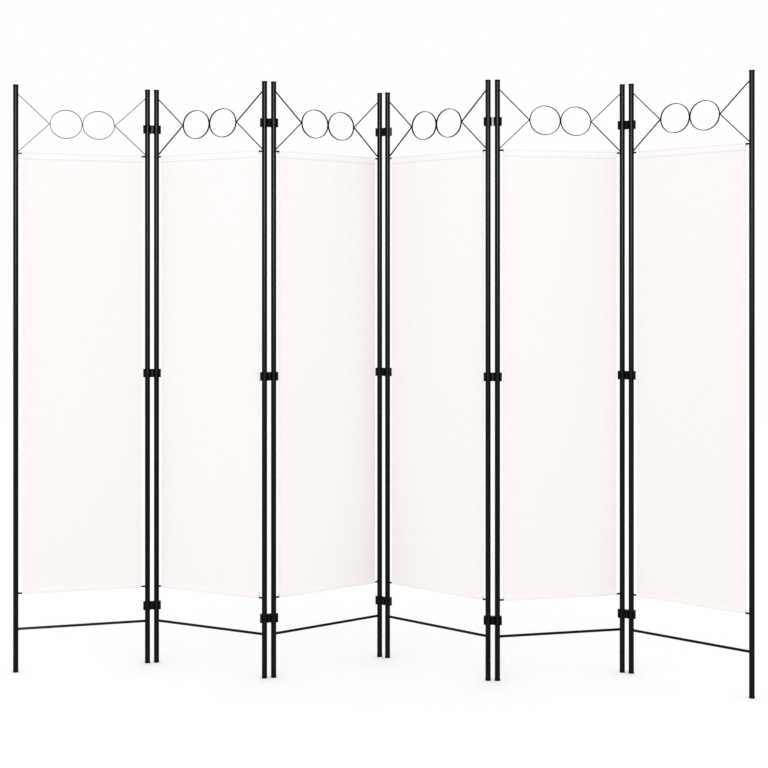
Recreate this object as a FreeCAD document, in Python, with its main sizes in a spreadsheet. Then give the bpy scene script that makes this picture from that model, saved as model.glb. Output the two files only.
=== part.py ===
import FreeCAD, Part
import math
import os

import Sketcher

# A folding screen of six steel-framed fabric panels. Snap-on double clips hold the tubes of
# neighbouring panels side by side, so that each corner folds flat to either side.
# Millimetres. +Z is up, +X runs along the screen and the screen's front faces -Y.

SIZES = {
    # The whole screen
    "screen_height": 1800.0,
    "panel_pitch": 400.0,
    "corner_gap": 12.0,
    # Upright tubes and their end caps
    "tube_diameter": 16.0,
    "tube_wall": 1.0,
    "cap_height": 5.0,
    "cap_overhang": 0.3,
    "cap_stem_length": 12.0,
    "cap_stem_clearance": 0.05,
    # Round cross bar near the floor
    "lower_bar_diameter": 8.0,
    "lower_bar_height": 131.7,
    # Flat bar, for the two bars that carry the fabric and for the ring ornament
    "strip_thickness": 2.0,
    "strip_depth": 5.0,
    "top_bar_drop": 210.4,
    "bottom_bar_height": 240.7,
    "ring_width": 98.5,
    "ring_height": 89.0,
    "ring_end_radius": 42.0,
    "ring_drop": 117.0,
    "brace_foot_rise": 5.3,
    # Fabric, sewn back on itself round each bar
    "fabric_thickness": 0.6,
    "fabric_side_gap": 11.0,
    "fabric_bar_clearance": 0.3,
    "sleeve_depth": 15.3,
    "sleeve_seam_depth": 4.0,
    # Double clips
    "clip_clearance": 0.05,
    "clip_wall": 2.85,
    "clip_height": 26.0,
    "clip_back_width": 9.0,
    "clip_ear_length": 2.5,
    "clip_ear_thickness": 8.0,
    "clip_web_thickness": 8.0,
    "top_clip_drop": 125.0,
    "middle_clip_height": 910.0,
    "bottom_clip_height": 180.0,
}

# The mouth of each clip ring, as shares of its bore and of its outside diameter
MOUTH_SHARE = 0.82
LIP_SHARE = 0.77

# Directions of the panels and of the clips between them, in degrees from +X towards +Y
PANEL_HEADINGS = [15.8, -27.1, 37.2, -41.0, 13.3, -41.3]
CLIP_HEADINGS = [13.3, 15.7, -25.3, -4.9, -22.9]

UP = FreeCAD.Vector(0, 0, 1)
ALONG = FreeCAD.Vector(1, 0, 0)


class Size(float):
    """A length that also knows the sheet formula it comes from."""

    def __new__(cls, value, formula):
        number = float.__new__(cls, value)
        number.formula = formula
        return number

    def __add__(self, other):
        return Size(float(self) + float(other), f"({self.formula} + {formula_of(other)})")

    def __sub__(self, other):
        return Size(float(self) - float(other), f"({self.formula} - {formula_of(other)})")

    def __mul__(self, other):
        return Size(float(self) * float(other), f"({self.formula} * {formula_of(other)})")

    def __truediv__(self, other):
        return Size(float(self) / float(other), f"({self.formula} / {formula_of(other)})")

    def __neg__(self):
        return Size(-float(self), f"(-1 * {self.formula})")


def formula_of(value):
    """The sheet formula of a size, or the digits of a plain number."""
    return value.formula if isinstance(value, Size) else repr(value)


def other_leg(hypotenuse, leg):
    """The other short side of a right-angled triangle."""
    square = hypotenuse * hypotenuse - leg * leg
    return Size(math.sqrt(square), f"sqrt({square.formula})")


document = FreeCAD.newDocument("FoldingScreen")
sheet = document.addObject("Spreadsheet::Sheet", "Sizes")
for row, (name, value) in enumerate(SIZES.items(), start=1):
    sheet.set(f"A{row}", name)
    sheet.set(f"B{row}", str(value))
    sheet.setAlias(f"B{row}", name)
document.recompute()

size = {name: Size(value, f"Sizes.{name}") for name, value in SIZES.items()}
NOWHERE = Size(0, "0")

# Sizes that follow from the sheet, shared by more than one piece
panel_pitch = size["panel_pitch"]
tube_radius = size["tube_diameter"] / 2
corner_pitch = size["tube_diameter"] + size["corner_gap"]
clear_width = panel_pitch - size["tube_diameter"]
top_bar_height = size["screen_height"] - size["top_bar_drop"]
ring_centre_height = size["screen_height"] - size["ring_drop"]
clip_heights = [
    size["screen_height"] - size["top_clip_drop"],
    size["middle_clip_height"],
    size["bottom_clip_height"],
]


# Helpers for sketches and features


def new_body(name):
    """An empty body for one pattern piece, drawn in the frame of its panel or clip."""
    return document.addObject("PartDesign::Body", name)


def new_sketch(body, role, name, offset=None):
    """A sketch on one of the body's own origin planes, moved along the plane's normal by offset."""
    plane = next(f for f in body.Origin.OriginFeatures if f.Role == role)
    sketch = body.newObject("Sketcher::SketchObject", name)
    sketch.AttachmentSupport = [(plane, "")]
    sketch.MapMode = "FlatFace"
    if offset is not None:
        sketch.setExpression("AttachmentOffset.Base.z", offset.formula)
    return sketch


def pin(sketch, edge, end, x, y):
    """Hold a point at sheet sizes. A coordinate that is a plain number is left to other constraints."""
    for kind, value, axis in (("DistanceX", x, -2), ("DistanceY", y, -1)):
        if not isinstance(value, Size):
            continue
        if value == 0:
            sketch.addConstraint(Sketcher.Constraint("PointOnObject", edge, end, axis))
            continue
        held = sketch.addConstraint(Sketcher.Constraint(kind, -1, 1, edge, end, float(value)))
        sketch.setExpression(f"Constraints[{held}]", value.formula)


def draw_circle(sketch, x, y, diameter):
    """A circle about a pinned centre."""
    centre = FreeCAD.Vector(x, y, 0)
    edge = sketch.addGeometry(Part.Circle(centre, UP, diameter / 2))
    pin(sketch, edge, 3, x, y)
    held = sketch.addConstraint(Sketcher.Constraint("Diameter", edge, float(diameter)))
    sketch.setExpression(f"Constraints[{held}]", diameter.formula)


def line_from(x, y):
    """A corner of an outline that a straight edge leaves."""
    return {"x": x, "y": y, "arc": None}


def arc_from(x, y, centre_x, centre_y, radius, turn):
    """A corner that an arc leaves: turn is 1 for anticlockwise and -1 for clockwise."""
    return {"x": x, "y": y, "arc": (centre_x, centre_y, radius, turn)}


def draw_outline(sketch, corners):
    """A closed outline. Where an arc's corners are plain numbers, its edges join it smoothly."""
    edges = []
    for corner, following in zip(corners, corners[1:] + corners[:1]):
        start = FreeCAD.Vector(corner["x"], corner["y"], 0)
        end = FreeCAD.Vector(following["x"], following["y"], 0)
        if corner["arc"] is None:
            edges.append((sketch.addGeometry(Part.LineSegment(start, end)), 1, 2))
            continue
        centre_x, centre_y, radius, turn = corner["arc"]
        centre = FreeCAD.Vector(centre_x, centre_y, 0)
        first, last = (start, end) if turn > 0 else (end, start)
        angles = [math.atan2(p.y - centre.y, p.x - centre.x) for p in (first, last)]
        edge = sketch.addGeometry(Part.ArcOfCircle(Part.Circle(centre, UP, radius), *angles))
        held = sketch.addConstraint(Sketcher.Constraint("Radius", edge, float(radius)))
        sketch.setExpression(f"Constraints[{held}]", radius.formula)
        edges.append((edge, 1, 2) if turn > 0 else (edge, 2, 1))
        if not isinstance(corner["y"], Size):
            pin(sketch, edge, 3, centre_x, centre_y)
    for corner, before, after in zip(corners, edges[-1:] + edges[:-1], edges):
        smooth = not isinstance(corner["x"], Size) and not isinstance(corner["y"], Size)
        kind = "Tangent" if smooth else "Coincident"
        sketch.addConstraint(Sketcher.Constraint(kind, before[0], before[2], after[0], after[1]))
        pin(sketch, after[0], after[1], corner["x"], corner["y"])
    return [edge[0] for edge in edges]


def tangent_point(centre_x, centre_y, radius, x, y, side):
    """Where a line from (x, y) touches a circle, as plain numbers to start the sketch from."""
    across, up = float(x - centre_x), float(y - centre_y)
    distance = math.hypot(across, up)
    turn = math.acos(radius / distance) * side
    direction = math.atan2(up, across) + turn
    return (
        float(centre_x) + radius.real * math.cos(direction),
        float(centre_y) + radius.real * math.sin(direction),
    )


def pad(body, sketch, length, name, both_sides=False):
    """A pad of a sketch, along its normal or evenly to both sides of it."""
    feature = body.newObject("PartDesign::Pad", name)
    feature.Profile = sketch
    feature.Midplane = both_sides
    feature.setExpression("Length", length.formula)
    return feature


def draw_rectangle(sketch, half_width, half_height):
    """A rectangle about the sketch's origin."""
    draw_outline(
        sketch,
        [
            line_from(-half_width, -half_height),
            line_from(half_width, -half_height),
            line_from(half_width, half_height),
            line_from(-half_width, half_height),
        ],
    )


# Pattern pieces of a panel, with the left tube's axis on Z and the right tube at +X


def make_tube():
    """Welded steel tube between its two end caps."""
    body = new_body("TubePattern")
    sketch = new_sketch(body, "XY_Plane", "TubeSection", size["cap_height"])
    draw_circle(sketch, NOWHERE, NOWHERE, size["tube_diameter"])
    draw_circle(sketch, NOWHERE, NOWHERE, size["tube_diameter"] - size["tube_wall"] * 2)
    pad(body, sketch, size["screen_height"] - size["cap_height"] * 2, "TubeLength")
    return body


def make_end_cap():
    """Plug with a round foot that covers the tube's end, and a square stem in its bore."""
    body = new_body("EndCapPattern")
    foot = new_sketch(body, "XY_Plane", "CapFootSection")
    draw_circle(foot, NOWHERE, NOWHERE, size["tube_diameter"] + size["cap_overhang"] * 2)
    pad(body, foot, size["cap_height"], "CapFoot")
    bore_radius = tube_radius - size["tube_wall"] - size["cap_stem_clearance"]
    half_side = bore_radius / math.sqrt(2)
    stem = new_sketch(body, "XY_Plane", "CapStemSection", size["cap_height"])
    draw_rectangle(stem, half_side, half_side)
    pad(body, stem, size["cap_stem_length"], "CapStem")
    return body


def make_lower_bar():
    """Round bar from tube to tube, square-cut and welded at both ends."""
    body = new_body("LowerBarPattern")
    section = new_sketch(body, "YZ_Plane", "LowerBarSection", tube_radius)
    draw_circle(section, NOWHERE, NOWHERE, size["lower_bar_diameter"])
    pad(body, section, clear_width, "LowerBarLength")
    return body


def make_fabric_bar():
    """Flat bar from tube to tube with its wide face to the front, welded at both ends."""
    body = new_body("FabricBarPattern")
    section = new_sketch(body, "YZ_Plane", "FabricBarSection", tube_radius)
    draw_rectangle(section, size["strip_thickness"] / 2, size["strip_depth"] / 2)
    pad(body, section, clear_width, "FabricBarLength")
    return body


def make_brace():
    """Flat bar bent sharply to a V: the bend meets the ring's side and the legs end at the tube."""
    body = new_body("BracePattern")
    thickness = size["strip_thickness"]
    bend_x = panel_pitch / 2 - size["ring_width"] - thickness
    bend_y = ring_centre_height
    foot = size["top_bar_drop"] - size["ring_drop"] - size["brace_foot_rise"]
    top, bottom = bend_y + foot, bend_y - foot
    outer = tangent_point(bend_x, bend_y, thickness, tube_radius, top, -1)
    slope_y = (outer[1] - float(bend_y)) / float(thickness)
    inner_top = float(top) - float(thickness) / slope_y
    mirror_y = 2 * float(bend_y)
    profile = new_sketch(body, "XZ_Plane", "BraceProfile")
    edges = draw_outline(
        profile,
        [
            line_from(tube_radius, top),
            arc_from(*outer, bend_x, bend_y, thickness, -1),
            line_from(outer[0], mirror_y - outer[1]),
            line_from(tube_radius, bottom),
            line_from(tube_radius, mirror_y - inner_top),
            line_from(bend_x, bend_y),
            line_from(tube_radius, inner_top),
        ],
    )
    profile.addConstraint(Sketcher.Constraint("Parallel", edges[0], edges[5]))
    profile.addConstraint(Sketcher.Constraint("Parallel", edges[2], edges[4]))
    pad(body, profile, size["strip_depth"], "BraceDepth", both_sides=True)
    return body


def draw_oval(sketch, inset):
    """A four-arc oval about the sketch's origin, drawn a distance inside the ring's outside."""
    half_width = size["ring_width"] / 2
    half_height = size["ring_height"] / 2
    end_radius = size["ring_end_radius"]
    reach = half_width - end_radius
    squares = reach * reach + half_height * half_height - end_radius * end_radius
    side_radius = squares / ((half_height - end_radius) * 2)
    side_centre = float(side_radius - half_height)
    stretch = float(side_radius - inset) / float(side_radius - end_radius)
    x, y = float(reach) * stretch, side_centre * (stretch - 1)
    draw_outline(
        sketch,
        [
            arc_from(x, -y, reach, NOWHERE, end_radius - inset, 1),
            arc_from(x, y, 0, -side_centre, side_radius - inset, 1),
            arc_from(-x, y, -reach, NOWHERE, end_radius - inset, 1),
            arc_from(-x, -y, 0, side_centre, side_radius - inset, 1),
        ],
    )


def make_ring():
    """Oval ring of flat bar bent on edge, about the origin."""
    body = new_body("RingPattern")
    profile = new_sketch(body, "XZ_Plane", "RingProfile")
    draw_oval(profile, NOWHERE)
    draw_oval(profile, size["strip_thickness"])
    pad(body, profile, size["strip_depth"], "RingDepth", both_sides=True)
    return body


def make_fabric():
    """Taut cloth between the flat bars, turned over each one and sewn down as a sleeve."""
    body = new_body("FabricPattern")
    half = size["fabric_thickness"] / 2
    side = tube_radius + size["fabric_side_gap"]
    profile = new_sketch(body, "YZ_Plane", "FabricProfile", side)
    bottom_bar_height = size["bottom_bar_height"]
    top_seam = top_bar_height - size["sleeve_depth"]
    bottom_seam = bottom_bar_height + size["sleeve_depth"]
    draw_outline(
        profile,
        sleeve_outside(top_bar_height, top_seam, 1)
        + [line_from(half, top_seam), line_from(half, bottom_seam)]
        + sleeve_outside(bottom_bar_height, bottom_seam, -1)
        + [line_from(-half, bottom_seam), line_from(-half, top_seam)],
    )
    draw_outline(profile, sleeve_hollow(top_bar_height, top_seam, 1))
    draw_outline(profile, sleeve_hollow(bottom_bar_height, bottom_seam, -1))
    pad(body, profile, panel_pitch - side * 2, "FabricWidth")
    return body


def sleeve_outside(bar_height, seam, way):
    """The outside of one sleeve, clockwise from seam to seam round the bar: way is 1 for the top."""
    thickness = size["fabric_thickness"]
    clear = size["strip_depth"] / 2 + size["fabric_bar_clearance"]
    out = (size["strip_thickness"] / 2 + size["fabric_bar_clearance"] + thickness) * way
    shoulder = bar_height - clear * way
    crest = bar_height + (clear + thickness) * way
    return [
        line_from(thickness * -way, seam),
        line_from(-out, shoulder),
        line_from(-out, crest),
        line_from(out, crest),
        line_from(out, shoulder),
        line_from(thickness * way, seam),
    ]


def sleeve_hollow(bar_height, seam, way):
    """The space round one bar inside its sleeve, which closes a little before the seam."""
    clear = size["strip_depth"] / 2 + size["fabric_bar_clearance"]
    out = (size["strip_thickness"] / 2 + size["fabric_bar_clearance"]) * way
    return [
        line_from(NOWHERE, seam + size["sleeve_seam_depth"] * way),
        line_from(-out, bar_height - clear * way),
        line_from(-out, bar_height + clear * way),
        line_from(out, bar_height + clear * way),
        line_from(out, bar_height - clear * way),
    ]


# The clip, with its left bore's axis on Z and its mouths towards -Y


def make_clip():
    """Double snap-on clip: two open rings with flat outsides, a web between them and two ears."""
    body = new_body("ClipPattern")
    bore = tube_radius + size["clip_clearance"]
    outside = bore + size["clip_wall"]
    mouth_x, tip_x = bore * MOUTH_SHARE, outside * LIP_SHARE
    mouth_y, tip_y = -other_leg(bore, mouth_x), -other_leg(outside, tip_x)
    back = size["clip_back_width"] / 2
    ear = size["clip_ear_thickness"] / 2
    ear_end = outside + size["clip_ear_length"]
    web = size["clip_web_thickness"] / 2
    left, right = NOWHERE, corner_pitch
    section = new_sketch(body, "XY_Plane", "ClipSection")
    draw_outline(
        section,
        [
            line_from(-ear_end, -ear),
            line_from(-tip_x, tip_y),
            arc_from(-mouth_x, mouth_y, left, NOWHERE, bore, -1),
            line_from(mouth_x, mouth_y),
            line_from(tip_x, tip_y),
            line_from(outside, -web),
            line_from(right - outside, -web),
            line_from(right - tip_x, tip_y),
            arc_from(right - mouth_x, mouth_y, right, NOWHERE, bore, -1),
            line_from(right + mouth_x, mouth_y),
            line_from(right + tip_x, tip_y),
            line_from(right + ear_end, -ear),
            line_from(right + ear_end, ear),
            line_from(right + back, outside),
            line_from(right - back, outside),
            line_from(right - outside, web),
            line_from(outside, web),
            line_from(back, outside),
            line_from(-back, outside),
            line_from(-ear_end, ear),
        ],
    )
    pad(body, section, size["clip_height"], "ClipHeight", both_sides=True)
    return body


# Assembly: the nodes are groups of placed copies of the pattern pieces

tube = make_tube()
end_cap = make_end_cap()
lower_bar = make_lower_bar()
fabric_bar = make_fabric_bar()
brace = make_brace()
ring = make_ring()
fabric = make_fabric()
clip = make_clip()
document.recompute()


def at(x=0, z=0, turn=0, axis=UP):
    """A place in the frame of a panel or a corner."""
    return FreeCAD.Placement(FreeCAD.Vector(x, 0, z), FreeCAD.Rotation(axis, turn))


def add_node(label, copies, where):
    """One named sub-part: copies of pattern pieces, each with its place, in a panel or corner."""
    links = []
    for pattern, place in copies:
        link = document.addObject("App::Link", "Copy")
        link.LinkedObject = pattern
        link.Placement = place
        links.append(link)
    node = document.addObject("Part::Compound", label)
    node.Label = label
    node.Links = links
    node.Placement = where
    return node


def plan_places():
    """Where each panel and each corner stands in plan, walking along the screen."""
    panels, corners = [], []
    point = FreeCAD.Vector(0, 0, 0)
    for number, heading in enumerate(PANEL_HEADINGS):
        turn = FreeCAD.Rotation(UP, heading)
        panels.append(FreeCAD.Placement(point, turn))
        point = point + turn.multVec(ALONG * panel_pitch)
        if number < len(CLIP_HEADINGS):
            turn = FreeCAD.Rotation(UP, CLIP_HEADINGS[number])
            corners.append(FreeCAD.Placement(point, turn))
            point = point + turn.multVec(ALONG * corner_pitch)
    return panels, corners


def add_panel(number, where):
    """The welded frame, the fabric and the end caps of one panel."""
    name = f"panel_{number}_"
    top = size["screen_height"]
    ring_offset = size["ring_width"] / 2
    middle = panel_pitch / 2
    flat_bars = [(fabric_bar, at(z=top_bar_height)), (fabric_bar, at(z=size["bottom_bar_height"]))]
    flat_bars += [(brace, at()), (brace, at(panel_pitch, turn=180))]
    flat_bars += [(ring, at(middle + side * ring_offset, ring_centre_height)) for side in (-1, 1)]
    end_caps = [(end_cap, at(x)) for x in (0, panel_pitch)]
    end_caps += [(end_cap, at(x, top, 180, ALONG)) for x in (0, panel_pitch)]
    return [
        add_node(name + "left_tube", [(tube, at())], where),
        add_node(name + "right_tube", [(tube, at(panel_pitch))], where),
        add_node(name + "lower_bar", [(lower_bar, at(z=size["lower_bar_height"]))], where),
        add_node(name + "flat_bars", flat_bars, where),
        add_node(name + "fabric", [(fabric, at())], where),
        add_node(name + "end_caps", end_caps, where),
    ]


def add_corner(number, where):
    """The three clips that join two panels."""
    copies = [(clip, at(z=height)) for height in clip_heights]
    return [add_node(f"corner_{number}_clips", copies, where)]


panel_places, corner_places = plan_places()
nodes = []
for number, where in enumerate(panel_places, start=1):
    nodes += add_panel(number, where)
for number, where in enumerate(corner_places, start=1):
    nodes += add_corner(number, where)
document.recompute()

# The origin is on the floor, at the middle of the standing screen's own box
whole = Part.makeCompound([node.Shape for node in nodes]).optimalBoundingBox(False)
to_origin = FreeCAD.Vector(-whole.Center.x, -whole.Center.y, 0)
for node in nodes:
    node.Placement = FreeCAD.Placement(node.Placement.Base + to_origin, node.Placement.Rotation)
document.recompute()

# Every object has to be sound before anything is written
for item in document.Objects:
    if "Invalid" in item.State or "Error" in item.State:
        raise RuntimeError(f"{item.Label} did not compute: {item.State}")
for node in nodes:
    if node.Shape.isNull() or not node.Shape.isValid():
        raise RuntimeError(f"{node.Label} is not a valid shape")

os.makedirs("parts", exist_ok=True)
for node in nodes:
    node.Shape.exportStep(f"parts/{node.Label}.step")
print(f"{len(nodes)} nodes, {sum(len(node.Shape.Solids) for node in nodes)} solids")
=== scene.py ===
# %% [markdown]
# # A folding screen in six panels
# The real screen is a chain of six welded steel frames. Black plastic clips hold the upright tubes
# of two neighbours side by side, and a panel of off-white cloth is stretched in the middle of each
# frame. The steel and the plastic are already here, measured, as the imported frame: they only need
# their finishes. What has to be made is what a CAD model can't carry well: the cloth with its sewn
# sleeves, the thread, the weld beads and the photographer's white room.

# %% Load the imported frame
import math

import bpy
from mathutils import Matrix, Vector, noise


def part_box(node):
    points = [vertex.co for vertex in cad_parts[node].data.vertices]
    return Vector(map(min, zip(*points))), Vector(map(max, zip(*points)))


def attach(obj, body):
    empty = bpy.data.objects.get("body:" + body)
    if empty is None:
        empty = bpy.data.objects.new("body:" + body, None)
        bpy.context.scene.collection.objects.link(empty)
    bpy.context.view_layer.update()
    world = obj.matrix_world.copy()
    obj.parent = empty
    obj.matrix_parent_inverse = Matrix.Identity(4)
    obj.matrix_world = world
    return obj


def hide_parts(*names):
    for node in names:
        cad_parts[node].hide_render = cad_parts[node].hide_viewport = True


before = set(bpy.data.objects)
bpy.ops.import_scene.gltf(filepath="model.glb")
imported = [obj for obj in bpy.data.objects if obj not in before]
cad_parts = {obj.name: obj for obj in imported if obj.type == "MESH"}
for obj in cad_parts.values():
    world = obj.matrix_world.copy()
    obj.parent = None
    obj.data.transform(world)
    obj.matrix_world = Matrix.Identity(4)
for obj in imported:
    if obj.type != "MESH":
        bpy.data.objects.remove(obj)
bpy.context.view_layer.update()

# %% [markdown]
# ## Where each panel stands
# The screen stands in a zigzag, so every panel has its own direction. Each piece is easiest to draw
# on a panel that lies along X with its left tube at zero. One matrix per panel then carries the
# drawing to its place. The matrix comes from the boxes of the two tubes, so no angle is typed here.
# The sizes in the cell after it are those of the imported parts.

# %% A frame of reference for each panel
MM = 0.001
PANEL_NUMBERS = range(1, 7)


def tube_axis(node):
    """The foot of an upright tube's centre line."""
    low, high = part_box(node)
    return Vector(((low.x + high.x) / 2, (low.y + high.y) / 2, 0))


def panel_matrix(number):
    """From millimetres on a panel (along, back, up) to metres in the room."""
    left = tube_axis(f"panel_{number}_left_tube")
    along = (tube_axis(f"panel_{number}_right_tube") - left).normalized()
    back = Vector((-along.y, along.x, 0))
    turn = Matrix((along, back, Vector((0, 0, 1)))).transposed().to_4x4()
    return Matrix.Translation(left) @ turn @ Matrix.Scale(MM, 4)


PANEL_MATRIX = {number: panel_matrix(number) for number in PANEL_NUMBERS}
for number, matrix in PANEL_MATRIX.items():
    print("panel", number, "starts at", [round(x, 4) for x in matrix.translation])

# %% The panel's own sizes, in millimetres
PITCH = 400.0
TUBE_RADIUS = 8.0
LOWER_BAR_HEIGHT = 131.7
LOWER_BAR_RADIUS = 4.0
TOP_BAR_HEIGHT = 1589.6
BOTTOM_BAR_HEIGHT = 240.7
STRIP_THICKNESS = 2.0
STRIP_DEPTH = 5.0
RING_HEIGHT = 1683.0
RING_WIDTH = 98.5
BRACE_FOOT = 88.1
BRACE_FOOT_HALF = 1.4
print("tube axes", PITCH, "mm apart, rings", RING_HEIGHT, "mm above the floor")

# %% [markdown]
# ## Colours and nodes
# Colours are picked on a screen as sRGB hex values, but a render adds up light in linear numbers.
# One function does that change for every colour in the file. A second one adds any node with its
# settings and its links, so that a material reads from top to bottom like a recipe.

# %% Two helpers for every material


def linear(hex_colour):
    """An sRGB hex colour as linear red, green, blue and alpha."""
    parts = [int(hex_colour[i : i + 2], 16) / 255 for i in (1, 3, 5)]
    return [p / 12.92 if p <= 0.04045 else ((p + 0.055) / 1.055) ** 2.4 for p in parts] + [1.0]


def add(tree, kind, inputs=None, **settings):
    """A new node. Inputs are values, or sockets of other nodes to link from."""
    node = tree.nodes.new(kind)
    for name, value in settings.items():
        setattr(node, name, value)
    for name, value in (inputs or {}).items():
        if isinstance(value, bpy.types.NodeSocket):
            tree.links.new(value, node.inputs[name])
        else:
            node.inputs[name].default_value = value
    return node


def new_material(name):
    """An empty material with its principled shader and output, and the shader to set."""
    material = bpy.data.materials.new(name)
    material.use_nodes = True
    tree = material.node_tree
    tree.nodes.clear()
    shader = add(tree, "ShaderNodeBsdfPrincipled")
    add(tree, "ShaderNodeOutputMaterial", {"Surface": shader.outputs["BSDF"]})
    return material, tree, shader


def per_metre(size_mm):
    """The noise scale whose features are about this many millimetres across."""
    return 1000 / size_mm


print("middle grey in linear light:", round(linear("#808080")[0], 3))

# %% [markdown]
# ## Powder-coated steel
# Tubes and bars were welded, dipped clean and sprayed with black polyester powder, which melts into
# a skin in the oven. The skin is satin rather than glossy and keeps a faint orange peel, with waves
# about 1.5 mm long and a hundredth of a millimetre high. It is also a little shinier in some places
# than in others, over some 60 mm. Noise at those two scales gives both.

# %% Steel with black powder coat


def powder_coat():
    """Satin black powder coat with orange peel."""
    material, tree, shader = new_material("black powder-coated steel")
    place = add(tree, "ShaderNodeTexCoord").outputs["Object"]
    cloud = add(tree, "ShaderNodeTexNoise", {"Vector": place, "Scale": per_metre(60), "Detail": 3})
    shade = add(tree, "ShaderNodeMix", data_type="RGBA")
    tree.links.new(cloud.outputs["Fac"], shade.inputs["Factor"])
    shade.inputs["A"].default_value = linear("#050506")
    shade.inputs["B"].default_value = linear("#0A0A0B")
    tree.links.new(shade.outputs["Result"], shader.inputs["Base Color"])
    gloss = add(
        tree,
        "ShaderNodeMapRange",
        {"Value": cloud.outputs["Fac"], "From Min": 0.3, "From Max": 0.7, "To Min": 0.22, "To Max": 0.3},
    )
    tree.links.new(gloss.outputs["Result"], shader.inputs["Roughness"])
    peel = add(tree, "ShaderNodeTexNoise", {"Vector": place, "Scale": per_metre(1.5), "Detail": 1})
    bump = add(
        tree,
        "ShaderNodeBump",
        {"Height": peel.outputs["Fac"], "Distance": 0.012 * MM, "Strength": 0.7},
    )
    tree.links.new(bump.outputs["Normal"], shader.inputs["Normal"])
    shader.inputs["IOR"].default_value = 1.5
    shader.inputs["Specular IOR Level"].default_value = 0.1
    return material


STEEL = powder_coat()
print("made", STEEL.name)

# %% [markdown]
# ## Two black plastics
# The end caps are taken to be polyethylene, moulded in a tool with a spark-eroded face: that leaves
# a dull, finely pitted skin, which wear greys a little in patches. The clips are taken to be nylon
# from a polished tool, so they are deep black and glossy. Only slow flow waves and a little wear
# break up their highlights. Each plastic is one noise for its shade or shine and one for its skin.

# %% Polyethylene for the caps and nylon for the clips


def moulded_cap():
    """Matte black polyethylene with fine spark-eroded grain."""
    material, tree, shader = new_material("moulded black polyethylene")
    place = add(tree, "ShaderNodeTexCoord").outputs["Object"]
    scuff = add(tree, "ShaderNodeTexNoise", {"Vector": place, "Scale": per_metre(5), "Detail": 4})
    shade = add(tree, "ShaderNodeMix", data_type="RGBA")
    tree.links.new(scuff.outputs["Fac"], shade.inputs["Factor"])
    shade.inputs["A"].default_value = linear("#050505")
    shade.inputs["B"].default_value = linear("#0B0B0C")
    tree.links.new(shade.outputs["Result"], shader.inputs["Base Color"])
    grain = add(tree, "ShaderNodeTexNoise", {"Vector": place, "Scale": per_metre(0.4), "Detail": 1})
    bump = add(
        tree,
        "ShaderNodeBump",
        {"Height": grain.outputs["Fac"], "Distance": 0.03 * MM, "Strength": 0.6},
    )
    tree.links.new(bump.outputs["Normal"], shader.inputs["Normal"])
    shader.inputs["Roughness"].default_value = 0.6
    shader.inputs["IOR"].default_value = 1.51
    shader.inputs["Specular IOR Level"].default_value = 0.1
    return material


def moulded_clip():
    """Glossy black nylon with slow flow waves and light wear."""
    material, tree, shader = new_material("moulded black nylon")
    place = add(tree, "ShaderNodeTexCoord").outputs["Object"]
    wear = add(tree, "ShaderNodeTexNoise", {"Vector": place, "Scale": per_metre(2.5), "Detail": 5})
    shine = add(
        tree,
        "ShaderNodeMapRange",
        {"Value": wear.outputs["Fac"], "From Min": 0.35, "From Max": 0.75, "To Min": 0.16, "To Max": 0.3},
    )
    tree.links.new(shine.outputs["Result"], shader.inputs["Roughness"])
    flow = add(tree, "ShaderNodeTexNoise", {"Vector": place, "Scale": per_metre(7), "Detail": 0})
    bump = add(
        tree,
        "ShaderNodeBump",
        {"Height": flow.outputs["Fac"], "Distance": 0.08 * MM, "Strength": 0.5},
    )
    tree.links.new(bump.outputs["Normal"], shader.inputs["Normal"])
    shader.inputs["Base Color"].default_value = linear("#040405")
    shader.inputs["IOR"].default_value = 1.53
    shader.inputs["Specular IOR Level"].default_value = 0.12
    return material


CAP_PLASTIC = moulded_cap()
CLIP_PLASTIC = moulded_clip()
print("made", CAP_PLASTIC.name, "and", CLIP_PLASTIC.name)

# %% [markdown]
# ## The line that the cloth follows
# Seen from the side, the cloth comes up to the top bar, goes round it, and is sewn to itself 15 mm
# below. It does the same at the bottom. The cloth is one strip that is the same all the way across,
# so its side view is drawn once, as a line through its middle, and swept across the panel.

# %% Side view of the cloth, in millimetres
SIDE_GAP = 19.0
CLOTH_THICKNESS = 0.5
SEAM_DEPTH = 15.3
TURNED_END = 5.0
ROUND_BAR = 2.2
BAR_ROOM = 0.6
LAYER = 0.35
TURN_STEPS = 4
FLANK_STEPS = 10
ARC_STEPS = 12
MIDDLE_STEPS = 190
SEAM_EASE = 25
TOP_SEAM = TOP_BAR_HEIGHT - SEAM_DEPTH
BOTTOM_SEAM = BOTTOM_BAR_HEIGHT + SEAM_DEPTH


def ease(share):
    """From 0 to 1 with soft ends."""
    share = min(1.0, max(0.0, share))
    return share * share * (3 - 2 * share)


def sleeve_line():
    """Depth, and height above the bar, from the turned end behind round to the seam in front."""
    turn_step = TURNED_END / TURN_STEPS
    points = [(LAYER, -SEAM_DEPTH - TURNED_END + i * turn_step) for i in range(TURN_STEPS)]
    rise = SEAM_DEPTH - STRIP_DEPTH / 2
    flank = [(i / FLANK_STEPS, -SEAM_DEPTH + rise * i / FLANK_STEPS) for i in range(FLANK_STEPS + 1)]
    back = [(LAYER + (ROUND_BAR - LAYER) * ease(share), up) for share, up in flank]
    points += back
    centre = STRIP_DEPTH / 2 + BAR_ROOM - ROUND_BAR
    for i in range(ARC_STEPS + 1):
        angle = math.pi * i / ARC_STEPS
        points.append((ROUND_BAR * math.cos(angle), centre + ROUND_BAR * math.sin(angle)))
    return points + [(-depth, up) for depth, up in reversed(back)]


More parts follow.
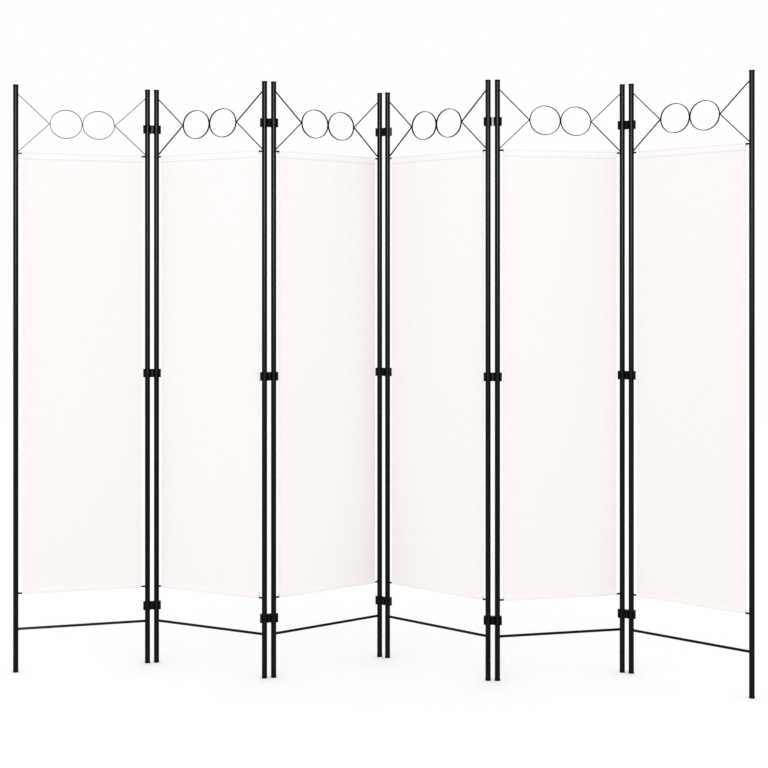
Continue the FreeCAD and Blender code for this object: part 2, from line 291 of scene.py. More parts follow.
def cloth_line():
    """Depth, height and run of the cloth's middle line, from one turned end to the other."""
    top = [(depth, TOP_BAR_HEIGHT + up) for depth, up in sleeve_line()]
    bottom = [(depth, BOTTOM_BAR_HEIGHT - up) for depth, up in reversed(sleeve_line())]
    middle = []
    for i in range(1, MIDDLE_STEPS):
        height = TOP_SEAM + (BOTTOM_SEAM - TOP_SEAM) * i / MIDDLE_STEPS
        from_seam = min(TOP_SEAM - height, height - BOTTOM_SEAM)
        middle.append((-LAYER * (1 - ease(from_seam / SEAM_EASE)), height))
    line, run, last = [], 0.0, None
    for depth, height in top + middle + bottom:
        run += 0.0 if last is None else math.hypot(depth - last[0], height - last[1])
        last = (depth, height)
        line.append((depth, height, run))
    return line


CLOTH_LINE = cloth_line()
SLEEVE_RUN = CLOTH_LINE[len(sleeve_line()) - 1][2]
BAR_RUN = (SLEEVE_RUN + TURNED_END) / 2
print("run from the turned end to the front seam in mm:", round(SLEEVE_RUN, 1))

# %% [markdown]
# ## Woven cloth
# The panels are taken to be a plain weave of spun polyester: one thread over, one thread under. Such
# threads lie about 0.5 mm apart, which is far too fine for a picture of the whole screen, so the
# weave is drawn at 1.2 mm, where it just begins to show in a close view. A spun thread also swells
# here and there, and those slubs, 30 mm long and 1.4 mm wide, are what reads as cloth from a step
# away. The pattern lies on the cloth's own UV map, in metres, so that it follows the sleeves round
# their bars. The same map tells where the top sleeve lies double and looks whiter, and where the black
# bar shows through as a faint grey line. It also sets a grey line of painted shade just below the top
# seam, which stands for the shade in the groove where the seam pulls the cloth in.

# %% The weave as a height and a shade
THREAD_PITCH = 1.2
SLUB_LENGTH = 30
SLUB_WIDTH = 1.4
SLEEVE_FADE = 1
BAR_LINE_HALF = 4.0
# Painted shade: a grey line just below the top seam stands for the shade in the groove there.
PAINTED_SEAM_SHADE_HALF = 1.6
PAINTED_SEAM_SHADE_DROP = 2


def cell(tree, value):
    """Where a point is between two threads, from 0 to 1, and which thread it is on."""
    threads = {0: value, 1: per_metre(THREAD_PITCH)}
    scaled = add(tree, "ShaderNodeMath", threads, operation="MULTIPLY")
    part = add(tree, "ShaderNodeMath", {0: scaled.outputs[0]}, operation="FRACT")
    count = add(tree, "ShaderNodeMath", {0: scaled.outputs[0]}, operation="FLOOR")
    return part.outputs[0], count.outputs[0]


def hump(tree, part):
    """A half wave over one thread, 0 at its sides and 1 in its middle."""
    angle = add(tree, "ShaderNodeMath", {0: part, 1: math.pi}, operation="MULTIPLY")
    return add(tree, "ShaderNodeMath", {0: angle.outputs[0]}, operation="SINE").outputs[0]


def weave_height(tree, across, up):
    """Height of a plain weave: each cell shows the thread that is on top there."""
    across_part, across_count = cell(tree, across)
    up_part, up_count = cell(tree, up)
    thread, run = hump(tree, across_part), hump(tree, up_part)
    total = add(tree, "ShaderNodeMath", {0: across_count, 1: up_count}, operation="ADD")
    even = add(tree, "ShaderNodeMath", {0: total.outputs[0], 1: 2.0}, operation="FLOORED_MODULO")
    heights = []
    for top, below in ((thread, run), (run, thread)):
        arch = add(tree, "ShaderNodeMath", {0: below, 1: 0.4, 2: 0.6}, operation="MULTIPLY_ADD")
        lifted = add(tree, "ShaderNodeMath", {0: top, 1: arch.outputs[0]}, operation="MULTIPLY")
        heights.append(lifted.outputs[0])
    woven = add(tree, "ShaderNodeMix", {0: even.outputs[0], 2: heights[0], 3: heights[1]})
    return woven.outputs[0]


def near(tree, run, centre, half):
    """1 within half a line's width of a place along the cloth, and 0 from twice as far."""
    beside = add(tree, "ShaderNodeMath", {0: run, 1: centre * MM}, operation="SUBTRACT")
    off = add(tree, "ShaderNodeMath", {0: beside.outputs[0]}, operation="ABSOLUTE")
    ends = {"Value": off.outputs[0], "From Min": 2 * half * MM, "From Max": half * MM}
    return add(tree, "ShaderNodeMapRange", ends, interpolation_type="SMOOTHSTEP").outputs["Result"]


def tinted(tree, colour, share, hex_colour):
    """A colour that turns into another one by a share."""
    mixed = add(tree, "ShaderNodeMix", data_type="RGBA")
    tree.links.new(share, mixed.inputs["Factor"])
    tree.links.new(colour, mixed.inputs["A"])
    mixed.inputs["B"].default_value = linear(hex_colour)
    return mixed.outputs["Result"]


def woven_cloth():
    """Off-white plain weave, whiter in the top sleeve, grey along its bar, with a painted line of shade
    below its seam.
    """
    material, tree, shader = new_material("woven off-white polyester")
    plan = add(tree, "ShaderNodeUVMap", uv_map="cloth").outputs["UV"]
    axes = add(tree, "ShaderNodeSeparateXYZ", {"Vector": plan})
    height = weave_height(tree, axes.outputs["X"], axes.outputs["Y"])
    slubs = []
    for across, up in ((SLUB_LENGTH, SLUB_WIDTH), (SLUB_WIDTH, SLUB_LENGTH)):
        stretch = (per_metre(across), per_metre(up), 1)
        drawn = add(tree, "ShaderNodeMapping", {"Vector": plan, "Scale": stretch})
        slub = add(
            tree,
            "ShaderNodeTexNoise",
            {"Vector": drawn.outputs["Vector"], "Scale": 1.0, "Detail": 1},
        )
        slubs.append(slub.outputs["Fac"])
    slubby = add(tree, "ShaderNodeMath", {0: slubs[0], 1: slubs[1]}, operation="ADD")
    shade = add(
        tree,
        "ShaderNodeMapRange",
        {"Value": slubby.outputs[0], "From Min": 0.7, "From Max": 1.3},
    )
    colour = add(tree, "ShaderNodeMix", data_type="RGBA")
    tree.links.new(shade.outputs["Result"], colour.inputs["Factor"])
    colour.inputs["A"].default_value = linear("#F7F2F1")
    colour.inputs["B"].default_value = linear("#FBF6F4")
    turned = add(tree, "ShaderNodeMath", {0: axes.outputs["Y"], 1: -1.0}, operation="MULTIPLY")
    run = turned.outputs[0]
    double = add(
        tree,
        "ShaderNodeMapRange",
        {"Value": run, "From Min": SLEEVE_RUN * MM, "From Max": (SLEEVE_RUN - SLEEVE_FADE) * MM},
    )
    sleeved = tinted(tree, colour.outputs["Result"], double.outputs["Result"], "#FAF7F9")
    bar_line = near(tree, run, BAR_RUN, BAR_LINE_HALF)
    barred = tinted(tree, sleeved, bar_line, "#EFECEF")
    # Painted shade: a grey line just below the top seam, for the shade where the seam pulls the cloth in.
    painted_seam_shade = near(tree, run, SLEEVE_RUN + PAINTED_SEAM_SHADE_DROP, PAINTED_SEAM_SHADE_HALF)
    sewn = tinted(tree, barred, painted_seam_shade, "#EEE9EA")
    tree.links.new(sewn, shader.inputs["Base Color"])
    relief = {0: slubby.outputs[0], 1: 0.5, 2: height}
    rise = add(tree, "ShaderNodeMath", relief, operation="MULTIPLY_ADD")
    bump = add(
        tree,
        "ShaderNodeBump",
        {"Height": rise.outputs[0], "Distance": 0.1 * MM, "Strength": 0.35},
    )
    tree.links.new(bump.outputs["Normal"], shader.inputs["Normal"])
    shader.inputs["Roughness"].default_value = 0.9
    shader.inputs["Sheen Weight"].default_value = 0.1
    shader.inputs["Sheen Roughness"].default_value = 0.5
    return material


CLOTH = woven_cloth()
print("made", CLOTH.name, "with", len(CLOTH.node_tree.nodes), "nodes")

# %% [markdown]
# ## Sewing thread
# The seams are taken to be sewn with white polyester thread. It is two strands twisted together, so
# fine slanting grooves run along it. At this size they only show as shade: a wave of two whites,
# leaned over, stands for them.

# %% Twisted thread


def sewing_thread():
    """White twisted polyester thread."""
    material, tree, shader = new_material("twisted polyester thread")
    place = add(tree, "ShaderNodeTexCoord").outputs["Object"]
    # Painted shade: leaned bands of two whites stand for the shade in the thread's grooves.
    painted_groove_shade = add(
        tree,
        "ShaderNodeTexWave",
        {"Vector": place, "Scale": per_metre(6), "Distortion": 1.5, "Detail": 1},
        wave_type="BANDS",
        bands_direction="DIAGONAL",
    )
    colour = add(tree, "ShaderNodeMix", data_type="RGBA")
    tree.links.new(painted_groove_shade.outputs["Fac"], colour.inputs["Factor"])
    colour.inputs["A"].default_value = linear("#F3EDEC")
    colour.inputs["B"].default_value = linear("#FCF6F5")
    tree.links.new(colour.outputs["Result"], shader.inputs["Base Color"])
    shader.inputs["Roughness"].default_value = 0.55
    shader.inputs["Sheen Weight"].default_value = 0.2
    return material


THREAD = sewing_thread()
print("made", THREAD.name)

# %% [markdown]
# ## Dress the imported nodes
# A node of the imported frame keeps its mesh. It only gets a material in its slot: powder coat for
# everything that was welded, and one of the two plastics for the caps and the clips.

# %% Put the finishes on the nodes
FINISH = {"tube": STEEL, "bar": STEEL, "bars": STEEL, "caps": CAP_PLASTIC, "clips": CLIP_PLASTIC}
for name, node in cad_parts.items():
    finish = FINISH.get(name.split("_")[-1])
    if finish is not None:
        node.data.materials.clear()
        node.data.materials.append(finish)
print("finished", sum(1 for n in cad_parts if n.split("_")[-1] in FINISH), "nodes")

# %% [markdown]
# ## Cloth that was sewn and stretched by hand
# Stretched cloth is nearly flat, but never quite. Thread tension gathers it into small puckers
# along each seam, the free side edges wave a little, and the middle stands off its plane by a
# millimetre here and there. Noise and two sine waves give that. Each fades where something holds
# the cloth, and the panel's number shifts the noise so that no two panels are alike.

# %% How far the cloth stands off its plane
SEAM_HOLD = 180
WANDER_ACROSS = 90
WANDER_UP = 300
WANDER_SHIFT = 3.7
BILLOW = 1.4
BILLOW_ACROSS = 170
BILLOW_UP = 420
BILLOW_SHIFT = 7.3
PUCKER = 0.3
PUCKER_PITCH = 27
PUCKER_REACH = 50
PUCKER_REACH_IN_SLEEVE = 6
EDGE_WAVE = 0.8
EDGE_WAVE_PITCH = 95
EDGE_WAVE_REACH = 16


def stand_off(number, along, height):
    """Depth in millimetres to add to the cloth at a place on a panel."""
    from_seam = min(TOP_SEAM - height, height - BOTTOM_SEAM)
    loose = ease(from_seam / SEAM_HOLD)
    place = Vector((along / WANDER_ACROSS, height / WANDER_UP, number * WANDER_SHIFT))
    wander = noise.noise(place)
    place = Vector((along / BILLOW_ACROSS, height / BILLOW_UP, number * BILLOW_SHIFT))
    billow = BILLOW * loose * noise.noise(place)
    if from_seam > 0:
        fade = math.exp(-from_seam / PUCKER_REACH)
    else:
        fade = math.exp(from_seam / PUCKER_REACH_IN_SLEEVE)
    pucker = PUCKER * fade * math.sin(math.tau * (along / PUCKER_PITCH + wander))
    from_edge = min(along - SIDE_GAP, PITCH - SIDE_GAP - along)
    held = loose * math.exp(-from_edge / EDGE_WAVE_REACH)
    wave = EDGE_WAVE * held * math.sin(math.tau * (height / EDGE_WAVE_PITCH + wander))
    return billow + pucker + wave


print("stand-off in the middle of panel 1:", round(stand_off(1, PITCH / 2, 900), 3), "mm")

# %% [markdown]
# ## The sheet
# A grid of points follows the side view and crosses the panel from edge to edge. Its UV map holds
# the real distance across and along the cloth, in metres. Solidify gives it the thickness of the
# cloth, and the result is kept as a plain closed mesh with crisp rims: shading that ran on round the
# rims would darken the edges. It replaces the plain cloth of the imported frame.

# %% One sheet of cloth for each panel
ACROSS_STEPS = 60
CRISP_ANGLE = math.radians(45)


def finished(mesh, name):
    """An object at the origin that shows a mesh."""
    thing = bpy.data.objects.new(name, mesh)
    bpy.context.scene.collection.objects.link(thing)
    return thing


def thickened(thing, thickness):
    """A sheet with a real thickness, as a plain mesh whose rims stay crisp."""
    wall = thing.modifiers.new("thickness", "SOLIDIFY")
    wall.thickness = thickness * MM
    wall.offset = 0
    seen = thing.evaluated_get(bpy.context.evaluated_depsgraph_get())
    mesh = bpy.data.meshes.new_from_object(seen)
    mesh.name = thing.name
    mesh.set_sharp_from_angle(angle=CRISP_ANGLE)
    thing.modifiers.clear()
    thing.data = mesh
    return thing


def make_cloth(number):
    """The cloth of one panel, without its hems."""
    width = PITCH - 2 * SIDE_GAP
    columns = [SIDE_GAP + width * i / ACROSS_STEPS for i in range(ACROSS_STEPS + 1)]
    vertices, places = [], []
    for depth, height, run in CLOTH_LINE:
        for along in columns:
            off = stand_off(number, along, height)
            vertices.append(PANEL_MATRIX[number] @ Vector((along, depth + off, height)))
            places.append((along * MM, -run * MM))
    wide = len(columns)
    faces = [
        (row * wide + i, (row + 1) * wide + i, (row + 1) * wide + i + 1, row * wide + i + 1)
        for row in range(len(CLOTH_LINE) - 1)
        for i in range(wide - 1)
    ]
    mesh = bpy.data.meshes.new(f"panel_{number}_cloth")
    mesh.from_pydata(vertices, [], faces)
    layer = mesh.uv_layers.new(name="cloth")
    for loop in mesh.loops:
        layer.data[loop.index].uv = places[loop.vertex_index]
    mesh.shade_smooth()
    mesh.materials.append(CLOTH)
    return thickened(finished(mesh, f"panel_{number}_cloth"), CLOTH_THICKNESS)


CLOTHS = {number: make_cloth(number) for number in PANEL_NUMBERS}
print("sheets:", len(CLOTHS), "faces each:", len(CLOTHS[1].data.polygons))

# %% [markdown]
# ## Side hems
# A cut edge would fray, so each side is turned to the back by 8 mm and stitched. From the front
# that shows only as a row of stitches. From the back it is a narrow strip, and the strip is drawn
# as one: a thin closed ribbon that follows the cloth from seam to seam.

# %% Two ribbons for each panel
HEM_WIDTH = 8.0
HEM_DEPTH = 0.55
HEM_END_GAP = 2
HEM_STEPS = 180


def hem_heights():
    """Heights along a side hem, from just below the top seam to just above the bottom one."""
    ends = TURNED_END + HEM_END_GAP
    top, bottom = TOP_SEAM - ends, BOTTOM_SEAM + ends
    return [top + (bottom - top) * i / HEM_STEPS for i in range(HEM_STEPS + 1)]


def make_hems(number):
    """The turned side edges of one panel's cloth, seen from the back."""
    vertices, places, faces = [], [], []
    far_edge = PITCH - SIDE_GAP
    for start, end in ((SIDE_GAP, SIDE_GAP + HEM_WIDTH), (far_edge - HEM_WIDTH, far_edge)):
        first = len(vertices)
        for height in hem_heights():
            for share in (0.0, 0.5, 1.0):
                along = start + (end - start) * share
                depth = HEM_DEPTH + stand_off(number, along, height)
                vertices.append(PANEL_MATRIX[number] @ Vector((along, depth, height)))
                places.append((along * MM, (height - TOP_SEAM - SLEEVE_RUN) * MM))
        for row in range(len(hem_heights()) - 1):
            for i in range(2):
                corner = first + row * 3 + i
                faces.append((corner, corner + 3, corner + 4, corner + 1))
    mesh = bpy.data.meshes.new(f"panel_{number}_side_hems")
    mesh.from_pydata(vertices, [], faces)
    layer = mesh.uv_layers.new(name="cloth")
    for loop in mesh.loops:
        layer.data[loop.index].uv = places[loop.vertex_index]
    mesh.shade_smooth()
    mesh.materials.append(CLOTH)
    return thickened(finished(mesh, f"panel_{number}_side_hems"), CLOTH_THICKNESS)


HEMS = {number: make_hems(number) for number in PANEL_NUMBERS}
print("hem ribbons:", 2 * len(HEMS))

# %% [markdown]
# ## Rows of stitches
# A machine sews some 8 stitches to 25 mm. Each is a short, slightly sunken roll of thread, and a
# panel has more than two thousand of them, so they are a job for Geometry Nodes. The tree takes
# lines as its input, sets a point every 3 mm along them, puts one small roll on each point, turned
# along the line, and makes real mesh of them.

# %% The tree that sews


def socket(tree, name, kind, way="INPUT"):
    """A named input or output of a tree."""
    return tree.interface.new_socket(name, in_out=way, socket_type=kind)


def stitch_tree():
    """Rolls of thread along every line of a mesh."""
    tree = bpy.data.node_groups.new("rows of stitches", "GeometryNodeTree")
    tree.is_modifier = True
    socket(tree, "Lines", "NodeSocketGeometry")
    for name in ("Stitch pitch", "Stitch length", "Thread width"):
        socket(tree, name, "NodeSocketFloat")
    socket(tree, "Stitches", "NodeSocketGeometry", "OUTPUT")
    given = add(tree, "NodeGroupInput")
    path = add(tree, "GeometryNodeMeshToCurve", {"Mesh": given.outputs["Lines"]})
    spaced = add(
        tree,
        "GeometryNodeResampleCurve",
        {"Curve": path.outputs["Curve"], "Length": given.outputs["Stitch pitch"]},
        mode="LENGTH",
    )
    roll = add(tree, "GeometryNodeMeshUVSphere", {"Segments": 6, "Rings": 4, "Radius": 0.5})
    shape = add(
        tree,
        "ShaderNodeCombineXYZ",
        {
            "X": given.outputs["Stitch length"],
            "Y": given.outputs["Thread width"],
            "Z": given.outputs["Thread width"],
        },
    )
    sized = add(
        tree,
        "GeometryNodeTransform",
        {"Geometry": roll.outputs["Mesh"], "Scale": shape.outputs["Vector"]},
    )
    heading = add(tree, "GeometryNodeInputTangent")
    turned = add(
        tree, "FunctionNodeAlignRotationToVector", {"Vector": heading.outputs["Tangent"]}, axis="X"
    )
    sewn = add(
        tree,
        "GeometryNodeInstanceOnPoints",
        {
            "Points": spaced.outputs["Curve"],
            "Instance": sized.outputs["Geometry"],
            "Rotation": turned.outputs["Rotation"],
        },
    )
    real = add(tree, "GeometryNodeRealizeInstances", {"Geometry": sewn.outputs["Instances"]})
    smooth = add(tree, "GeometryNodeSetShadeSmooth", {0: real.outputs["Geometry"]})
    dressed = {"Geometry": smooth.outputs[0], "Material": THREAD}
    white = add(tree, "GeometryNodeSetMaterial", dressed)
    add(tree, "NodeGroupOutput", {"Stitches": white.outputs["Geometry"]})
    return tree


STITCH_TREE = stitch_tree()
print("sewing tree:", len(STITCH_TREE.nodes), "nodes")

# %% Run a tree once and keep a plain mesh


def grown(lines, tree, sizes, name):
    """What a tree makes of a mesh of lines, as a plain object with no modifier."""
    carrier = finished(lines, name + "_lines")
    modifier = carrier.modifiers.new("grow", "NODES")
    modifier.node_group = tree
    sockets = {item.name: item.identifier for item in tree.interface.items_tree}
    for label, value in sizes.items():
        modifier[sockets[label]] = value
    seen = carrier.evaluated_get(bpy.context.evaluated_depsgraph_get())
    mesh = bpy.data.meshes.new_from_object(seen)
    bpy.data.objects.remove(carrier)
    bpy.data.meshes.remove(lines)
    mesh.name = name
    return finished(mesh, name)


def line_mesh(rows, matrix, name, closed=False):
    """A mesh of edges only, one chain for each row of points."""
    vertices, edges = [], []
    for row in rows:
        first = len(vertices)
        vertices += [matrix @ Vector(point) for point in row]
        edges += [(first + i, first + i + 1) for i in range(len(row) - 1)]
        if closed:
            edges.append((len(vertices) - 1, first))
    mesh = bpy.data.meshes.new(name)
    mesh.from_pydata(vertices, edges, [])
    return mesh


print("ready to grow:", STITCH_TREE.name)

# %% Sew the seams and the side hems
STITCH_INSET = 2
SEAM_STEPS = 120
SEAM_OFFSET = 1


def seam_rows(number):
    """The two seams, in front and behind, 1 mm from the line where the layers part."""
    rows = []
    start = SIDE_GAP + STITCH_INSET
    columns = [start + (PITCH - 2 * start) * i / SEAM_STEPS for i in range(SEAM_STEPS + 1)]
    for height in (TOP_SEAM - SEAM_OFFSET, BOTTOM_SEAM + SEAM_OFFSET):
        for side in (-1, 1):
            skin = side * (LAYER + CLOTH_THICKNESS / 2)
            rows.append([(x, skin + stand_off(number, x, height), height) for x in columns])
    return rows


def hem_rows(number):
    """The rows that hold the side hems, in front of the cloth and on the hem behind."""
    rows = []
    inner = SIDE_GAP + HEM_WIDTH - STITCH_INSET
    for along in (inner, PITCH - inner):
        for skin in (-CLOTH_THICKNESS / 2, HEM_DEPTH + CLOTH_THICKNESS / 2):
            rows.append([(along, skin + stand_off(number, along, z), z) for z in hem_heights()])
    return rows


STITCHES = {}
for number in PANEL_NUMBERS:
    name = f"panel_{number}_stitches"
    lines = line_mesh(seam_rows(number) + hem_rows(number), PANEL_MATRIX[number], name + "_path")
    sizes = {"Stitch pitch": 3 * MM, "Stitch length": 2.5 * MM, "Thread width": 0.4 * MM}
    STITCHES[number] = grown(lines, STITCH_TREE, sizes, name)
print("faces of thread on a panel:", len(STITCHES[1].data.polygons))

# %% [markdown]
# ## Weld beads
# Every bar was cut square and welded round its end, so a small bead fills the corner between bar
# and tube. Where the rings touch each other and the braces, a short bead lies in the notch above
# and below. A bead is a chain of melted ripples under the powder coat. Again lines go in and mesh
# comes out: a round section follows the line, and its radius swells with noise.

# %% The tree that welds


def weld_tree():
    """A rippled bead along every line of a mesh."""
    tree = bpy.data.node_groups.new("weld beads", "GeometryNodeTree")
    tree.is_modifier = True
    socket(tree, "Lines", "NodeSocketGeometry")
    for name in ("Bead radius", "Ripple size"):
        socket(tree, name, "NodeSocketFloat")
    socket(tree, "Beads", "NodeSocketGeometry", "OUTPUT")
    given = add(tree, "NodeGroupInput")
    path = add(tree, "GeometryNodeMeshToCurve", {"Mesh": given.outputs["Lines"]})
    spaced = add(
        tree,
        "GeometryNodeResampleCurve",
        {"Curve": path.outputs["Curve"], "Length": given.outputs["Ripple size"]},
        mode="LENGTH",
    )
    swell = add(tree, "ShaderNodeTexNoise", {"Scale": per_metre(1.6), "Detail": 0})
    share = add(
        tree,
        "ShaderNodeMapRange",
        {
            "Value": swell.outputs["Fac"],
            "From Min": 0.3,
            "From Max": 0.7,
            "To Min": 0.8,
            "To Max": 1.2,
        },
    )
    radius = add(
        tree,
        "ShaderNodeMath",
        {0: share.outputs["Result"], 1: given.outputs["Bead radius"]},
        operation="MULTIPLY",
    )
    section = add(tree, "GeometryNodeCurvePrimitiveCircle", {"Resolution": 8, "Radius": 1.0})
    bead = add(
        tree,
        "GeometryNodeCurveToMesh",
        {
            "Curve": spaced.outputs["Curve"],
            "Profile Curve": section.outputs["Curve"],
            "Scale": radius.outputs[0],
            "Fill Caps": True,
        },
    )
    smooth = add(tree, "GeometryNodeSetShadeSmooth", {0: bead.outputs["Mesh"]})
    dressed = {"Geometry": smooth.outputs[0], "Material": STEEL}
    coated = add(tree, "GeometryNodeSetMaterial", dressed)
    add(tree, "NodeGroupOutput", {"Beads": coated.outputs["Geometry"]})
    return tree


WELD_TREE = weld_tree()
print("welding tree:", len(WELD_TREE.nodes), "nodes")

# %% Where the beads run
LOOP_STEPS = 24
ELLIPSE = 2
SQUARISH = 4
NOTCH_STEPS = 8
NOTCH_RISE = 2.4
END_BEAD_RADIUS = 0.8
NOTCH_BEAD_RADIUS = 0.6
RIPPLE = 0.5


def bead_round(side, height, half_depth, half_height, power):
    """A loop on a tube's skin round the end of a bar: power 2 is an ellipse, more is squarer."""
    loop = []
    for i in range(LOOP_STEPS):
        angle = math.tau * i / LOOP_STEPS
        c, s = math.cos(angle), math.sin(angle)
        depth = half_depth * math.copysign(abs(c) ** (2 / power), c)
        up = half_height * math.copysign(abs(s) ** (2 / power), s)
        reach = math.sqrt(TUBE_RADIUS**2 - depth**2)
        along = reach if side < 0 else PITCH - reach
        loop.append((along, depth, height + up))
    return loop


def bar_end_loops():
    """The beads round all the bar ends of a panel."""
    loops = []
    half_thickness, half_strip = STRIP_THICKNESS / 2, STRIP_DEPTH / 2
    for side in (-1, 1):
        loops.append(bead_round(side, LOWER_BAR_HEIGHT, LOWER_BAR_RADIUS, LOWER_BAR_RADIUS, ELLIPSE))
        for height in (TOP_BAR_HEIGHT, BOTTOM_BAR_HEIGHT):
            loops.append(bead_round(side, height, half_thickness, half_strip, SQUARISH))
        for up in (-1, 1):
            foot = RING_HEIGHT + up * (BRACE_FOOT - BRACE_FOOT_HALF)
            loops.append(bead_round(side, foot, half_strip, BRACE_FOOT_HALF, SQUARISH))
    return loops


def notch_lines():
    """Short beads across the bar where rings and braces touch."""
    lines = []
    depths = [STRIP_DEPTH * (i / NOTCH_STEPS - 0.5) for i in range(NOTCH_STEPS + 1)]
    for along in (PITCH / 2 - RING_WIDTH, PITCH / 2, PITCH / 2 + RING_WIDTH):
        for height in (RING_HEIGHT - NOTCH_RISE, RING_HEIGHT + NOTCH_RISE):
            lines.append([(along, depth, height) for depth in depths])
    return lines


BEADS = {}
for number in PANEL_NUMBERS:
    name = f"panel_{number}_weld_beads"
    lines = line_mesh(bar_end_loops(), PANEL_MATRIX[number], name + "_loops", closed=True)
    sizes = {"Bead radius": END_BEAD_RADIUS * MM, "Ripple size": RIPPLE * MM}
    loops = grown(lines, WELD_TREE, sizes, name)
    lines = line_mesh(notch_lines(), PANEL_MATRIX[number], name + "_notches")
    sizes = {"Bead radius": NOTCH_BEAD_RADIUS * MM, "Ripple size": RIPPLE * MM}
    notches = grown(lines, WELD_TREE, sizes, name + "_n")
    with bpy.context.temp_override(
        active_object=loops, object=loops, selected_editable_objects=[loops, notches]
    ):
        bpy.ops.object.join()
    BEADS[number] = loops
print("faces of weld on a panel:", len(BEADS[1].data.polygons))

# %% [markdown]
# ## Tie everything to the frame
# Each piece rides on the panel that carries it, so that the screen can fold. The cloth takes the
# place of the plain cloth in the imported frame, which is hidden.

# %% Ride and replace
for number in PANEL_NUMBERS:
    body = f"panel_{number}"
    for piece in (CLOTHS[number], HEMS[number], STITCHES[number]):
        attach(piece, body)
    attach(BEADS[number], body)
    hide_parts(f"panel_{number}_fabric")

# %% [markdown]
# ## A white room
# The screen stands in front of seamless white, with light from all round. A white world a little
# brighter than full gives that light. For the camera, and for what glossy or clear things mirror,
# the world is pure white. The floor is pale paper that still takes the screen's soft shadow: a
# little light of its own, for the same rays alone, lifts it to white where nothing shades it.

# %% World and floor
WORLD_LIGHT = 1.05
FLOOR_LIFT = 0.19
FLOOR_REACH = 9.0


def background_ray(tree):
    """1 for rays that should see the white background."""
    rays = add(tree, "ShaderNodeLightPath")
    seen = add(
        tree,
        "ShaderNodeMath",
        {0: rays.outputs["Is Camera Ray"], 1: rays.outputs["Is Glossy Ray"]},
        operation="MAXIMUM",
    )
    both = add(
        tree,
        "ShaderNodeMath",
        {0: seen.outputs[0], 1: rays.outputs["Is Transmission Ray"]},
        operation="MAXIMUM",
    )
    return both.outputs[0]


world = bpy.data.worlds.new("white room")
world.use_nodes = True
world.node_tree.nodes.clear()
WHITE = linear("#FFFFFF")
lighting = add(world.node_tree, "ShaderNodeBackground", {"Color": WHITE, "Strength": WORLD_LIGHT})
backdrop = add(world.node_tree, "ShaderNodeBackground", {"Color": WHITE, "Strength": 1.0})
sky = add(
    world.node_tree,
    "ShaderNodeMixShader",
    {0: background_ray(world.node_tree), 1: lighting.outputs[0], 2: backdrop.outputs[0]},
)
add(world.node_tree, "ShaderNodeOutputWorld", {"Surface": sky.outputs[0]})
bpy.context.scene.world = world


def floor_paper():
    """Seamless white paper with faint fibres."""
    material, tree, shader = new_material("seamless white paper")
    place = add(tree, "ShaderNodeTexCoord").outputs["Object"]
    fibre = add(tree, "ShaderNodeTexNoise", {"Vector": place, "Scale": per_metre(4), "Detail": 2})
    bump = add(
        tree,
        "ShaderNodeBump",
        {"Height": fibre.outputs["Fac"], "Distance": 0.05 * MM, "Strength": 0.3},
    )
    tree.links.new(bump.outputs["Normal"], shader.inputs["Normal"])
    shader.inputs["Base Color"].default_value = linear("#E6E6E7")
    shader.inputs["Roughness"].default_value = 0.95
    shader.inputs["Specular IOR Level"].default_value = 0.1
    lift = add(tree, "ShaderNodeEmission", {"Color": WHITE, "Strength": FLOOR_LIFT})
    lifted = add(tree, "ShaderNodeAddShader", {0: shader.outputs[0], 1: lift.outputs[0]})
    chosen = add(
        tree,
        "ShaderNodeMixShader",
        {0: background_ray(tree), 1: shader.outputs[0], 2: lifted.outputs[0]},
    )
    output = next(node for node in tree.nodes if node.type == "OUTPUT_MATERIAL")
    tree.links.new(chosen.outputs[0], output.inputs["Surface"])
    return material


paper = bpy.data.meshes.new("floor")
outline = [(x * FLOOR_REACH, y * FLOOR_REACH, 0) for x, y in ((-1, -1), (1, -1), (1, 1), (-1, 1))]
paper.from_pydata(outline, [], [(0, 1, 2, 3)])
paper.materials.append(floor_paper())
floor = finished(paper, "floor")
print("floor", 2 * FLOOR_REACH, "m wide, world light", WORLD_LIGHT)

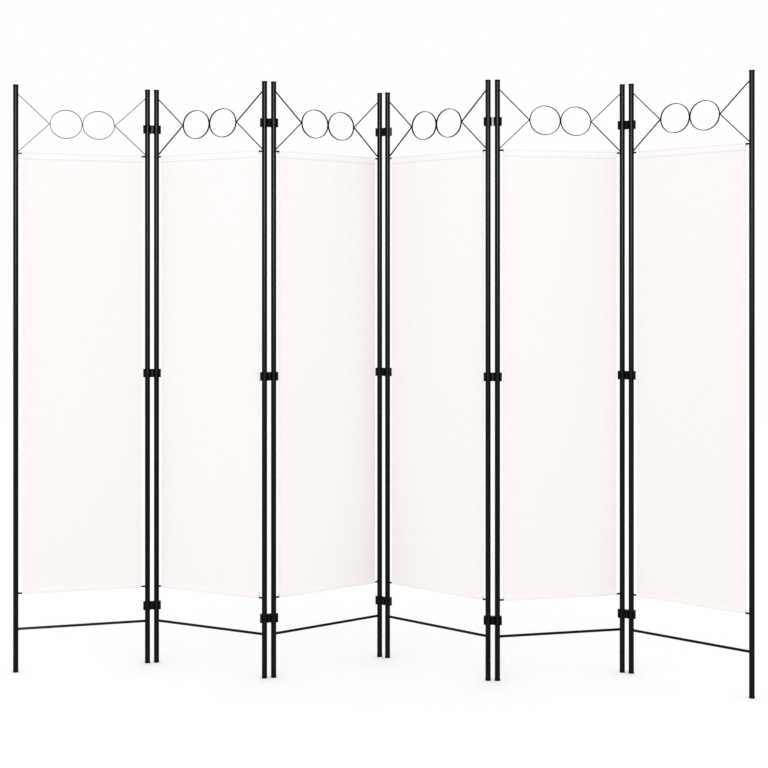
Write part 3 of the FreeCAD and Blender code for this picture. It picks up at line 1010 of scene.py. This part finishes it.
# %% [markdown]
# ## Four lamps
# In an even white world alone the round tubes would be flat black lines. A soft box in front shows
# in each of them as a narrow streak along its length. A tall strip that is hidden from diffuse light
# makes that streak. A small key lamp in front and one large lamp on each side brighten the cloth.
# The right one is kept out of reflections, so that the right flanks of the tubes stay darker.

# %% Key, sides and strip
SIDE_LAMP_SIZE = 1.8
STRIP_LAMP_WIDTH = 0.35
STRIP_LAMP_HEIGHT = 1.4


def soft_lamp(name, place, aim, size, power):
    """A square lamp that looks at a point, with its power in watts."""
    data = bpy.data.lights.new(name, "AREA")
    data.shape = "SQUARE"
    data.size = size
    data.energy = power
    lamp = bpy.data.objects.new(name, data)
    lamp.location = place
    lamp.rotation_euler = (Vector(aim) - Vector(place)).to_track_quat("-Z", "Y").to_euler()
    bpy.context.scene.collection.objects.link(lamp)
    return lamp


soft_lamp("key", (0, -4.6, 3.0), (0, 0, 1.3), 0.7, 12)
soft_lamp("left side", (-4.0, -1.5, 1.4), (0, 0, 0.8), SIDE_LAMP_SIZE, 11)
right = soft_lamp("right side", (4.0, -1.5, 1.4), (0, 0, 0.8), SIDE_LAMP_SIZE, 12)
right.visible_glossy = False
strip = soft_lamp("strip", (0.05, -4.5, 2.0), (0.05, 0, 2.0), STRIP_LAMP_WIDTH, 220)
strip.data.shape = "RECTANGLE"
strip.data.size_y = STRIP_LAMP_HEIGHT
strip.visible_diffuse = False

# %% [markdown]
# ## The camera
# The tubes are upright in the photograph, so its camera is taken to be level. A fit to the ends of
# the 12 tubes puts it 1.16 m above the floor with a short telephoto lens, and gives the place, the
# lens and the shifts below. Lens shift frames the screen without tilting the camera, so that the
# tubes stay upright in the picture.

# %% Camera and view
camera_data = bpy.data.cameras.new("camera")
camera_data.sensor_width = 36.0
camera_data.lens = 65.76
camera_data.shift_x = -0.00852
camera_data.shift_y = -0.1161
camera = bpy.data.objects.new("camera", camera_data)
camera.location = (0.05627, -4.25346, 1.1557)
camera.rotation_euler = (math.radians(90), 0, 0)
bpy.context.scene.collection.objects.link(camera)
bpy.context.scene.camera = camera
bpy.context.scene.view_settings.view_transform = "Standard"
print("camera", [round(x, 3) for x in camera.location], "lens", camera_data.lens)
